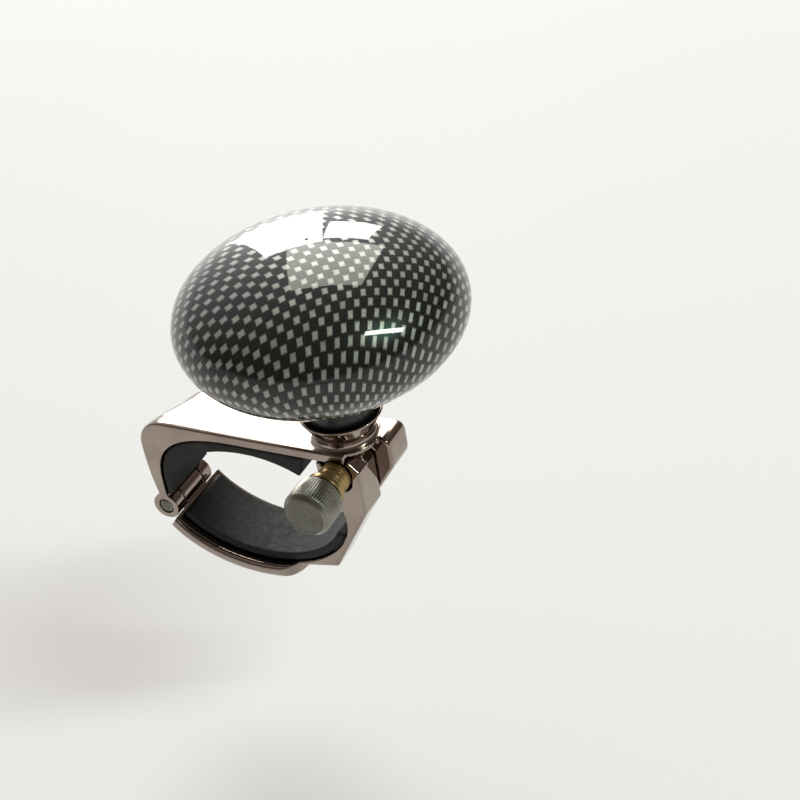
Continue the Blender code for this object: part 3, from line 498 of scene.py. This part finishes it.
def lathe(profile, segments, closed=False):
    """Skin of (r, z) points spun about Z."""
    rows = [(z, [r] * segments if r >= ON_AXIS else [0.0]) for r, z in profile]
    return spin(rows, closed)


ON_SPINDLE = Matrix.Translation((COLLAR_X, 0, 0))
TO_MINUS_Y = Matrix.Rotation(math.radians(90), 4, "X")


def along_screw(y):
    """Turn a piece made about +Z to point along -Y, on the thumb screw's axis."""
    return Matrix.Translation((SCREW_X, y, SCREW_Z)) @ TO_MINUS_Y


def knob_curve(radius, half_height, start, end, steps):
    """Points (r, z) of the knob's oval, the angle measured up from its underside."""
    points = []
    for i in range(steps + 1):
        angle = math.radians(start + (end - start) * i / steps)
        points.append((radius * math.sin(angle), KNOB_CENTRE - half_height * math.cos(angle)))
    return points


def dome():
    """Printed shell of the knob, down to its seam."""
    inner_radius = KNOB_RADIUS - KNOB_WALL
    inner_height = KNOB_HALF_HEIGHT - KNOB_WALL
    seam = math.degrees(math.asin(SEAM_RADIUS / KNOB_RADIUS))
    inner_seam = math.degrees(math.asin(SEAM_RADIUS / inner_radius))
    profile = knob_curve(DOME_RADIUS, KNOB_HALF_HEIGHT, seam, 180, steps=110)
    profile += knob_curve(inner_radius, inner_height, 180, inner_seam, steps=30)[1:]
    skin = lathe(profile, segments=256, closed=True)
    piece(skin, "printed_dome", "knob_dome", "knob", ON_SPINDLE, smooth_angle=50)


def thumb_head():
    """Knob of the thumb screw: straight knurls, a face with a centre mark, and the screw's bore."""
    bore = SHANK_RADIUS + BORE_GAP
    count = HEAD_KNURLS * KNURL_STEPS
    crests = [0.5 + 0.5 * math.cos(math.tau * k / KNURL_STEPS) for k in range(count)]
    rows = [(HEAD_LENGTH - HEAD_WALL, [bore] * count), (0.0, [bore] * count)]
    for radius, level, share in HEAD_OUTLINE:
        if radius > 0:
            radii = [radius * MM + HEAD_KNURL * share * crest for crest in crests]
        else:
            radii = [0.0]
        rows.append((level * MM, radii))
    skin = spin(rows, capped=(0,))
    piece(skin, "knurled_head", "thumb_head", "thumb_screw", along_screw(-HEAD_BACK), smooth_angle=28)


def screw_shank():
    """Shank with a rolled thread on the half that runs in the bracket, and a pointed tip."""
    far = HALF_WIDTH - SHANK_TIP_INSET
    near = -HEAD_BACK - HEAD_LENGTH + HEAD_WALL + SEAT_GAP
    threaded = far + SEAT_GAP
    steps = int(threaded / THREAD_PITCH * THREAD_STEPS)
    levels = [threaded * i / steps for i in range(steps + 1)] + [threaded + THREAD_PITCH, far - near]
    rows = []
    for level in levels:
        radii = []
        for k in range(SHANK_STEPS):
            phase = level / THREAD_PITCH - k / SHANK_STEPS
            tooth = abs((phase % 1.0) - 0.5) * 2
            depth = THREAD_DEPTH * tooth if level < threaded else 0
            tip = max(0.0, SHANK_TIP_BEVEL - level)
            radii.append(SHANK_RADIUS - max(depth, tip))
        rows.append((level, radii))
    skin = spin(rows, capped=(0, -1))
    piece(skin, "threaded_shank", "clamp_screw", "thumb_screw", along_screw(far), smooth_angle=40)


def soft_corners(profile, radius, steps=4):
    """Round every corner of a closed (r, z) profile as far as its sides allow."""
    side_share = 0.45
    nearly_straight = math.radians(87)
    result = []
    for i, point in enumerate(profile):
        here = Vector(point)
        before = Vector(profile[i - 1]) - here
        after = Vector(profile[(i + 1) % len(profile)]) - here
        half = before.angle(after) / 2
        if half > nearly_straight:
            result.append(point)
            continue
        reach = min(radius / math.tan(half), before.length * side_share, after.length * side_share)
        first = here + before.normalized() * reach
        last = here + after.normalized() * reach
        for k in range(steps + 1):
            t = k / steps
            spot = first * (1 - t) ** 2 + here * 2 * t * (1 - t) + last * t ** 2
            result.append((spot.x, spot.y))
    return result


def bush():
    """Brass spacer with turned grooves and a flange."""
    bore = SHANK_RADIUS + BORE_GAP
    flange = BUSH_LENGTH - BUSH_FLANGE_LENGTH
    low = BUSH_RADIUS - BUSH_GROOVE_DEPTH
    profile = [(bore, 0), (BUSH_RADIUS, 0)]
    level = BUSH_LAND
    for _ in range(BUSH_GROOVES):
        end = level + BUSH_GROOVE_WIDTH
        profile += [(BUSH_RADIUS, level), (low, level + BUSH_GROOVE_DEPTH)]
        profile += [(low, end - BUSH_GROOVE_DEPTH), (BUSH_RADIUS, end)]
        level = end + BUSH_LAND
    profile += [(BUSH_RADIUS, flange), (BUSH_FLANGE_RADIUS, flange)]
    profile += [(BUSH_FLANGE_RADIUS, BUSH_LENGTH), (bore, BUSH_LENGTH)]
    skin = lathe(soft_corners(profile, BUSH_ROUND), segments=120, closed=True)
    seat = along_screw(-HALF_WIDTH - SEAT_GAP)
    piece(skin, "turned_bush", "brass_bush", "bush", seat, smooth_angle=40)


def hinge_pin():
    """Pin with chamfered, slightly domed ends."""
    half = HALF_WIDTH - PIN_INSET
    profile = [(0, -half), (PIN_RADIUS / 2, -half + PIN_CROWN * PIN_CROWN_HALFWAY)]
    profile += [(PIN_RADIUS - PIN_CHAMFER_DEPTH, -half + PIN_CROWN)]
    profile += [(PIN_RADIUS, -half + PIN_CROWN + PIN_CHAMFER_LENGTH)]
    profile += [(r, -z) for r, z in reversed(profile)]
    in_hinge = Matrix.Translation((HINGE_X, 0, HINGE_Z)) @ TO_MINUS_Y
    skin = lathe(profile, segments=72)
    piece(skin, "riveted_pin", "hinge_pin", "clamp", in_hinge, smooth_angle=30)


def ball_race(node, body, wall_radius, land_radius, outward):
    """Ground race with its ball groove and broken edges."""
    groove_radius = BALL_RADIUS + BORE_GAP
    half = math.acos(abs(land_radius - BEARING_PITCH_RADIUS) / groove_radius)
    side = 1 if outward else -1
    blunt = side * RING_CHAMFER
    bottom = BEARING_BOTTOM + RING_CHAMFER
    top = BEARING_TOP - RING_CHAMFER
    profile = [(wall_radius, bottom), (wall_radius - blunt, BEARING_BOTTOM)]
    profile += [(land_radius + blunt, BEARING_BOTTOM), (land_radius, bottom)]
    for i in range(2 * GROOVE_STEPS + 1):
        angle = half * (i / GROOVE_STEPS - 1)
        groove_r = BEARING_PITCH_RADIUS + side * groove_radius * math.cos(angle)
        profile.append((groove_r, BEARING_MIDDLE + groove_radius * math.sin(angle)))
    profile += [(land_radius, top), (land_radius + blunt, BEARING_TOP)]
    profile += [(wall_radius - blunt, BEARING_TOP), (wall_radius, top)]
    skin = lathe(profile, segments=96, closed=True)
    piece(skin, f"ground_{node}", node, body, ON_SPINDLE, smooth_angle=40)


def balls():
    """Balls of the bearing, evenly round its pitch circle."""
    for i in range(BALL_COUNT):
        angle = math.tau * i / BALL_COUNT
        bm = bmesh.new()
        bmesh.ops.create_uvsphere(bm, u_segments=40, v_segments=24, radius=BALL_RADIUS)
        x = COLLAR_X + BEARING_PITCH_RADIUS * math.cos(angle)
        y = BEARING_PITCH_RADIUS * math.sin(angle)
        spot = Matrix.Translation((x, y, BEARING_MIDDLE))
        node = f"bearing_ball_{i + 1}"
        piece(bm, f"polished_{node}", node, "ball_train", spot, smooth_angle=80)


def plain_ring(node, radius, bottom, top, blunt):
    """Turned ring with broken edges, round the spindle."""
    bore = SPINDLE_BORE
    profile = [(bore, bottom + blunt), (bore + blunt, bottom)]
    profile += [(radius - blunt, bottom), (radius, bottom + blunt)]
    profile += [(radius, top - blunt), (radius - blunt, top), (bore + blunt, top), (bore, top - blunt)]
    skin = lathe(profile, segments=96, closed=True)
    piece(skin, f"turned_{node}", node, "clamp", ON_SPINDLE, smooth_angle=30)


def knob_base():
    """Underside and neck, its pocket for the bearing, and the lip that snaps into the dome."""
    edge = SEAM_RADIUS - SEAT_GAP
    inner_radius = KNOB_RADIUS - KNOB_WALL
    inner_height = KNOB_HALF_HEIGHT - KNOB_WALL

    def inside(r):
        return KNOB_CENTRE - inner_height * math.sqrt(1 - (r / inner_radius) ** 2)

    clip_top = BEARING_BOTTOM - SEAT_GAP
    clip_bottom = clip_top - CIRCLIP_THICKNESS
    neck_bottom = clip_bottom - SEAT_GAP - EDGE_ROUND
    pocket = BEARING_RADIUS + BORE_GAP
    clip_groove = BEARING_RADIUS + CIRCLIP_WIDTH / 2 + BORE_GAP
    shoulder = BEARING_TOP + SEAT_GAP
    first = math.degrees(math.asin((NECK_RADIUS + NECK_FILLET) / KNOB_RADIUS))
    last = math.degrees(math.asin(edge / KNOB_RADIUS))
    under = knob_curve(KNOB_RADIUS, KNOB_HALF_HEIGHT, first, last, steps=30)
    fillet = []
    for i in range(NECK_FILLET_STEPS):
        angle = math.radians(180 - 90 * i / NECK_FILLET_STEPS)
        fillet_r = NECK_RADIUS + NECK_FILLET * (1 + math.cos(angle))
        fillet.append((fillet_r, under[0][1] + NECK_FILLET * (math.sin(angle) - 1)))
    lip = edge + SNAP_LIP
    lip_inner = edge - SNAP_LIP
    lip_base = inside(lip) + SEAT_GAP
    lip_top = lip_base + SNAP_LIP_HEIGHT
    hub_top = inside(NECK_RADIUS) + HUB_RISE
    profile = [(pocket, neck_bottom), (NECK_RADIUS - NECK_CHAMFER, neck_bottom)]
    profile += [(NECK_RADIUS, neck_bottom + NECK_CHAMFER)] + fillet + under
    profile += [(edge, inside(edge) + SEAT_GAP), (lip, lip_base), (lip, lip_top), (lip_inner, lip_top)]
    for i in range(BOWL_STEPS + 1):
        bowl_r = lip_inner - (lip_inner - NECK_RADIUS) * i / BOWL_STEPS
        profile.append((bowl_r, inside(bowl_r)))
    profile += [(NECK_RADIUS, hub_top), (NECK_BORE_RADIUS, hub_top)]
    profile += [(NECK_BORE_RADIUS, shoulder), (pocket, shoulder)]
    profile += [(pocket, clip_top + BORE_GAP), (clip_groove, clip_top + BORE_GAP)]
    profile += [(clip_groove, clip_bottom - BORE_GAP), (pocket, clip_bottom - BORE_GAP)]
    skin = lathe(profile, segments=192, closed=True)
    piece(skin, "moulded_base", "knob_base", "knob", ON_SPINDLE, smooth_angle=35)


def cast_form(node, name, body, rounds):
    """The piece's own form, its edges softened as moulding, polishing and plating leave them."""
    made = placed(name, nodes[node].data.copy())
    skin = made.modifiers.new("skin", "REMESH")
    skin.mode = "VOXEL"
    skin.voxel_size = CAST_VOXEL
    soften = made.modifiers.new("soften", "SMOOTH")
    soften.factor = CAST_SOFTNESS
    soften.iterations = rounds
    thin = made.modifiers.new("thin", "DECIMATE")
    thin.ratio = CAST_KEEP
    depsgraph = bpy.context.evaluated_depsgraph_get()
    mesh = bpy.data.meshes.new_from_object(made.evaluated_get(depsgraph))
    made.modifiers.clear()
    made.data = mesh
    mesh.name = name
    mesh.shade_smooth()
    stand_in(made, node, body)


dome()
thumb_head()
screw_shank()
bush()
hinge_pin()
knob_base()
ball_race("bearing_inner_race", "clamp", SPINDLE_BORE, BEARING_PITCH_RADIUS - RACE_LAND, outward=False)
ball_race("bearing_outer_race", "knob", BEARING_RADIUS, BEARING_PITCH_RADIUS + RACE_LAND, outward=True)
balls()
plain_ring("bearing_spacer", SPACER_RADIUS, SPACER_BOTTOM, SPACER_TOP, RING_CHAMFER)
plain_ring("spindle_washer", WASHER_RADIUS, WASHER_BOTTOM, WASHER_TOP, WASHER_CHAMFER)
cast_form("upper_bracket", "bracket_casting", "clamp", METAL_ROUNDS)
cast_form("lower_jaw", "jaw_casting", "jaw", METAL_ROUNDS)
cast_form("upper_liner", "upper_lining", "clamp", LINING_ROUNDS)
cast_form("lower_liner", "lower_lining", "jaw", LINING_ROUNDS)

JAW_REACH = 50.5 * MM           # from the hinge's axis to the jaw's far end
FLOOR_CLEARANCE = 1.0 * MM
FLOOR_LEVEL = HINGE_Z - JAW_REACH - FLOOR_CLEARANCE
FLOOR_RADIUS = 6.0


def pale_floor():
    """Matte, nearly white floor."""
    made, g, shader = finish_of("pale_floor")
    grain = g.noise(g.place(), scale=3.0, detail=3)
    g.put(shader["Base Color"], g.mix(grain, (0.77, 0.76, 0.79), (0.80, 0.79, 0.82)))
    g.put(shader["Roughness"], g.remap(grain, 0.3, 0.7, start=0.75, end=0.85))
    return made


def floor():
    """Round floor below the reach of the open jaw."""
    bm = bmesh.new()
    bmesh.ops.create_circle(bm, cap_ends=True, segments=64, radius=FLOOR_RADIUS)
    mesh = bpy.data.meshes.new("floor")
    bm.to_mesh(mesh)
    bm.free()
    mesh.materials.append(pale_floor())
    made = placed("floor", mesh)
    made.location.z = FLOOR_LEVEL


def toward(azimuth, elevation):
    """Direction at an azimuth from +Y towards +X and an elevation, in degrees."""
    around = math.radians(azimuth)
    up = math.radians(elevation)
    return Vector((math.sin(around) * math.cos(up), math.cos(around) * math.cos(up), math.sin(up)))


AIM = Vector((0.0, 0.0, 0.03))      # the point that the lamps face
STRIP_AZIMUTH = 88
STRIP_ELEVATION = 47
PANE_COLOUR = (1.0, 0.985, 0.96)
UPPER_COLOUR = (1.0, 0.985, 0.88)
STRIP_COLOUR = (0.88, 1.0, 0.92)


def softbox(name, azimuth, elevation, distance, width, height, radiance, colour, turn=0.0):
    """Area lamp that faces the object; width and height are the degrees that it spans."""
    lamp = bpy.data.lights.new(name, "AREA")
    lamp.shape = "RECTANGLE"
    lamp.size = 2 * distance * math.tan(math.radians(width / 2))
    lamp.size_y = 2 * distance * math.tan(math.radians(height / 2))
    lamp.energy = radiance * math.pi * lamp.size * lamp.size_y
    lamp.color = colour
    made = placed(name, lamp)
    direction = toward(azimuth, elevation)
    made.location = AIM + direction * distance
    made.rotation_mode = "QUATERNION"
    turned = Quaternion((0, 0, 1), math.radians(turn))
    made.rotation_quaternion = direction.to_track_quat("Z", "Y") @ turned


def lights():
    """Window panes, and a narrow strip that draws the bright streak on the lacquer."""
    softbox("tall_pane", azimuth=-38, elevation=17, distance=4.0, width=15.5, height=34,
            radiance=10.0, colour=PANE_COLOUR)
    softbox("short_pane", azimuth=-22.5, elevation=23.5, distance=4.0, width=11.5, height=15.5,
            radiance=10.0, colour=PANE_COLOUR)
    softbox("upper_pane", azimuth=-24, elevation=50, distance=3.2, width=27, height=31,
            radiance=4.5, colour=UPPER_COLOUR)
    softbox("strip", STRIP_AZIMUTH, STRIP_ELEVATION, distance=2.4, width=27, height=4.8,
            radiance=28.0, colour=STRIP_COLOUR, turn=-58)


def surroundings():
    """Soft room: brighter towards the window, above and where the floor ends, warm and dim elsewhere."""
    window_light = 0.62
    window_focus = 3.0
    ceiling_light = 0.12
    least_light = 0.09
    white_light = 0.5
    sweep_light = 0.55
    sweep_height = 0.22
    glow_light = 1.8
    glow_focus = 45.0
    warm = (1.0, 0.80, 0.64)
    white = (1.0, 1.0, 1.0)
    green = (0.55, 1.0, 0.70)
    world = bpy.data.worlds.new("surroundings")
    bpy.context.scene.world = world
    world.use_nodes = True
    g = Graph(world.node_tree)
    direction = g.node("TexCoord").outputs["Generated"]
    height = g.split(direction)[2]

    def beam(azimuth, elevation, focus, light):
        """Light that falls off from one direction."""
        near = g.vector("DOT_PRODUCT", direction, tuple(toward(azimuth, elevation)))
        return g.math("MULTIPLY", g.math("POWER", g.math("MAXIMUM", near, 0.0), focus), light)

    window = beam(-50, 25, window_focus, window_light)
    above = g.math("MULTIPLY", g.math("MAXIMUM", height, 0.0), ceiling_light)
    sweep = g.remap(height, 0.0, sweep_height, start=sweep_light, end=0.0, smooth=True)
    room = g.math("ADD", g.math("ADD", g.math("ADD", window, above), least_light), sweep)
    colour = g.mix(g.spread(room, least_light, white_light), warm, white)
    glow = beam(STRIP_AZIMUTH, STRIP_ELEVATION, glow_focus, glow_light)
    background = world.node_tree.nodes["Background"]
    g.put(background.inputs["Color"], g.mix(g.math("MINIMUM", glow, 1.0), colour, green))
    g.put(background.inputs["Strength"], g.math("ADD", room, glow))


def camera():
    """View from the near right and above, turned a little about the line of sight."""
    azimuth = 31.6
    elevation = 34.7
    roll = math.radians(10.0)
    distance = 0.331
    focal_pixels = 1800.0
    half_frame = 400
    # where the middle of the knob falls, in pixels from the middle of the frame
    knob_right = 320.6 - half_frame
    knob_down = 309.8 - half_frame
    sensor_width = 36.0
    back = toward(180 - azimuth, elevation)
    right = toward(90 - azimuth, 0)
    up = back.cross(right)
    rolled_up = up * math.cos(roll) + right * math.sin(roll)
    rolled_right = rolled_up.cross(back)
    scale = distance / focal_pixels
    offset = rolled_right * knob_right * scale - rolled_up * knob_down * scale
    data = bpy.data.cameras.new("camera")
    data.sensor_width = sensor_width
    data.lens = sensor_width * focal_pixels / (2 * half_frame)
    data.clip_start = 0.01
    data.clip_end = 20.0
    axes = Matrix((rolled_right, rolled_up, back)).transposed().to_4x4()
    knob = Vector((COLLAR_X, 0, KNOB_CENTRE))
    made = placed("camera", data)
    made.matrix_world = Matrix.Translation(knob + back * distance - offset) @ axes
    bpy.context.scene.camera = made


floor()
lights()
surroundings()
camera()
bpy.context.scene.view_settings.view_transform = "Standard"
